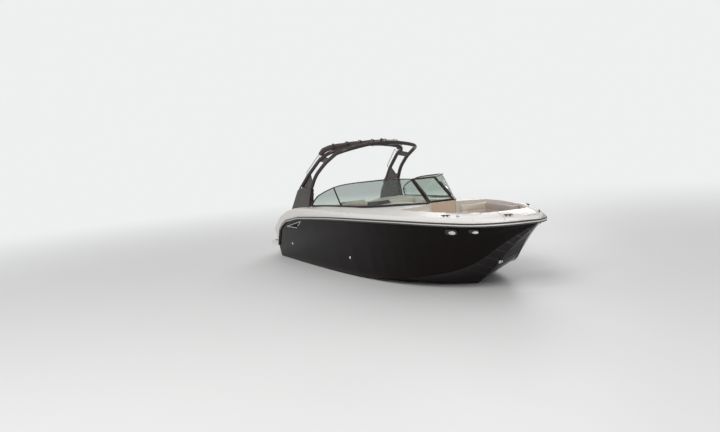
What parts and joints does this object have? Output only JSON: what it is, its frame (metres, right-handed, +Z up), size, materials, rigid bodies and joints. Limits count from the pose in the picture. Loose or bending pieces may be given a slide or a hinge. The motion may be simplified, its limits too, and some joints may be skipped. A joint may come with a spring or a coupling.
{
  "type": "open bow speedboat",
  "caption": "Open bow speedboat with a deep V hull, wraparound windscreen, forward raked folding arch, bow well, sunpad and a steering, trimming stern drive.",
  "frame": {"origin": "on the centreline at the still waterline, at the transom", "axes": "+X forward to the bow, +Y to port, +Z up from the water"},
  "size_m": [7.959, 2.572, 3.198],
  "materials": {
    "hull_gelcoat": "high gloss dark gelcoat",
    "deck_gelcoat": "glossy warm white gelcoat",
    "liner_gelcoat": "satin cream gelcoat",
    "rail_vinyl": "satin extruded vinyl",
    "rail_insert_metal": "polished stainless strip",
    "screen_frame_alloy": "dark powder coated extrusion",
    "screen_glass": "clear, faint green",
    "door_panel": "satin tan panel",
    "dash_plastic": "fine grained dark plastic",
    "wheel_leather": "stitched dark leather",
    "upholstery_cream": "smooth marine vinyl",
    "upholstery_grey": "smooth marine vinyl",
    "seat_plastic": "satin moulding",
    "mat_foam": "brushed foam decking",
    "stainless": "polished stainless",
    "arch_paint": "satin bronze brown paint",
    "canvas": "woven acrylic canvas",
    "light_lens": "lamp housing",
    "drive_paint": "satin black paint",
    "engine_metal": "painted castings",
    "vent_grille": "dark grille"
  },
  "bodies": {
    "hull": {"hull": "hull_gelcoat", "deck": "deck_gelcoat", "cockpit_liner": "liner_gelcoat", "rub_rail": "rail_vinyl", "rail_insert": "rail_insert_metal", "windscreen_frame": "screen_frame_alloy", "windscreen_glass": "screen_glass", "helm_console": "deck_gelcoat", "port_console": "deck_gelcoat", "instrument_panel": "dash_plastic", "steering_column": "dash_plastic", "throttle_control": "dash_plastic", "helm_pedestal": "stainless", "port_seat_base": "deck_gelcoat", "port_seat_cushion": "upholstery_cream", "aft_bench_base": "deck_gelcoat", "aft_bench_cushion": "upholstery_cream", "sole_mat": "mat_foam", "bow_seat_cushions": "upholstery_cream", "bow_backrests": "upholstery_grey", "arch_feet": "arch_paint", "swim_platform": "deck_gelcoat", "platform_mat": "mat_foam", "gimbal_housing": "drive_paint", "engine_block": "engine_metal", "bow_eye": "stainless", "stern_eyes": "stainless", "cleats": "stainless", "side_vents": "vent_grille", "bow_lights": "stainless", "filler_cap": "stainless", "hull_strakes": "hull_gelcoat"},
    "gimbal": {"gimbal_ring": "drive_paint"},
    "drive": {"drive_leg": "drive_paint"},
    "propeller_fore": {"propeller_fore": "stainless"},
    "propeller_aft": {"propeller_aft": "stainless"},
    "trim_barrels": {"trim_barrels": "drive_paint"},
    "trim_rods": {"trim_rods": "stainless"},
    "steering_wheel": {"steering_wheel": "wheel_leather"},
    "windscreen_door": {"windscreen_door_frame": "screen_frame_alloy", "windscreen_door_glass": "screen_glass"},
    "wind_door": {"wind_door": "door_panel"},
    "console_door": {"console_door": "door_panel"},
    "engine_hatch": {"engine_hatch": "deck_gelcoat", "sunpad_cushion": "upholstery_cream"},
    "anchor_hatch": {"anchor_hatch": "deck_gelcoat"},
    "arch": {"arch_frame": "arch_paint", "arch_panels": "arch_paint", "bimini_boot": "canvas", "bimini_struts": "stainless", "anchor_light": "light_lens"},
    "helm_seat": {"helm_seat_shell": "seat_plastic", "helm_seat_cushion": "upholstery_cream"}
  },
  "joints": [
    {"name": "drive_steer", "type": "hinge", "parent": "hull", "child": "gimbal", "pos_m": [-0.11, 0, -0.13], "axis": [0, 0, 1], "range_deg": [-27, 27]},
    {"name": "drive_trim", "type": "hinge", "parent": "gimbal", "child": "drive", "pos_m": [-0.162, 0, -0.11], "axis": [0, 1, 0], "range_deg": [0, 35]},
    {"name": "propeller_fore_spin", "type": "hinge", "parent": "drive", "child": "propeller_fore", "pos_m": [-0.63, 0, -0.6], "axis": [1, 0, 0], "continuous": true},
    {"name": "propeller_aft_spin", "type": "hinge", "parent": "drive", "child": "propeller_aft", "pos_m": [-0.7, 0, -0.6], "axis": [1, 0, 0], "continuous": true},
    {"name": "trim_barrel_tilt", "type": "hinge", "parent": "gimbal", "child": "trim_barrels", "pos_m": [-0.15, 0, -0.283], "axis": [0, 1, 0], "range_deg": [0, 29.94]},
    {"name": "trim_rod_slide", "type": "slide", "parent": "trim_barrels", "child": "trim_rods", "axis": [-0.9989, 0, -0.0464], "range_m": [0, 0.10031]},
    {"name": "steering_wheel_turn", "type": "hinge", "parent": "hull", "child": "steering_wheel", "pos_m": [3.47, -0.61, 1.04], "axis": [-0.8829, 0, 0.4695], "range_deg": [-540, 540]},
    {"name": "windscreen_door_swing", "type": "hinge", "parent": "hull", "child": "windscreen_door", "pos_m": [4.83022, 0.243, 1.28375], "axis": [-0.8094, 0, 0.5873], "range_deg": [0, 150]},
    {"name": "wind_door_swing", "type": "hinge", "parent": "hull", "child": "wind_door", "pos_m": [4.866, 0.233, 0.8], "axis": [0, 0, 1], "range_deg": [0, 88]},
    {"name": "console_door_swing", "type": "hinge", "parent": "hull", "child": "console_door", "pos_m": [4.558, 0.293, 0.7], "axis": [0, 0, 1], "range_deg": [0, 88]},
    {"name": "engine_hatch_lift", "type": "hinge", "parent": "hull", "child": "engine_hatch", "pos_m": [0.095, 0, 0.822], "axis": [0, -1, 0], "range_deg": [0, 45]},
    {"name": "anchor_hatch_lift", "type": "hinge", "parent": "hull", "child": "anchor_hatch", "pos_m": [7.015, 0, 1.16649], "axis": [0, 1, 0], "range_deg": [0, 80]},
    {"name": "arch_fold", "type": "hinge", "parent": "hull", "child": "arch", "pos_m": [1.765, 0, 1.41], "axis": [0, 1, 0], "range_deg": [0, 20]},
    {"name": "helm_seat_swivel", "type": "hinge", "parent": "hull", "child": "helm_seat", "pos_m": [2.83, -0.53, 0.7], "axis": [0, 0, 1], "range_deg": [-180, 180]}
  ],
  "couplings": [
    {"joint": "propeller_aft_spin", "follows": "propeller_fore_spin", "ratio": -1},
    {"joint": "trim_barrel_tilt", "follows": "drive_trim", "ratio": 0.85514},
    {"joint": "trim_rod_slide", "follows": "drive_trim", "m_per_rad": 0.16405},
    {"joint": "steering_wheel_turn", "follows": "drive_steer", "ratio": 20}
  ]
}
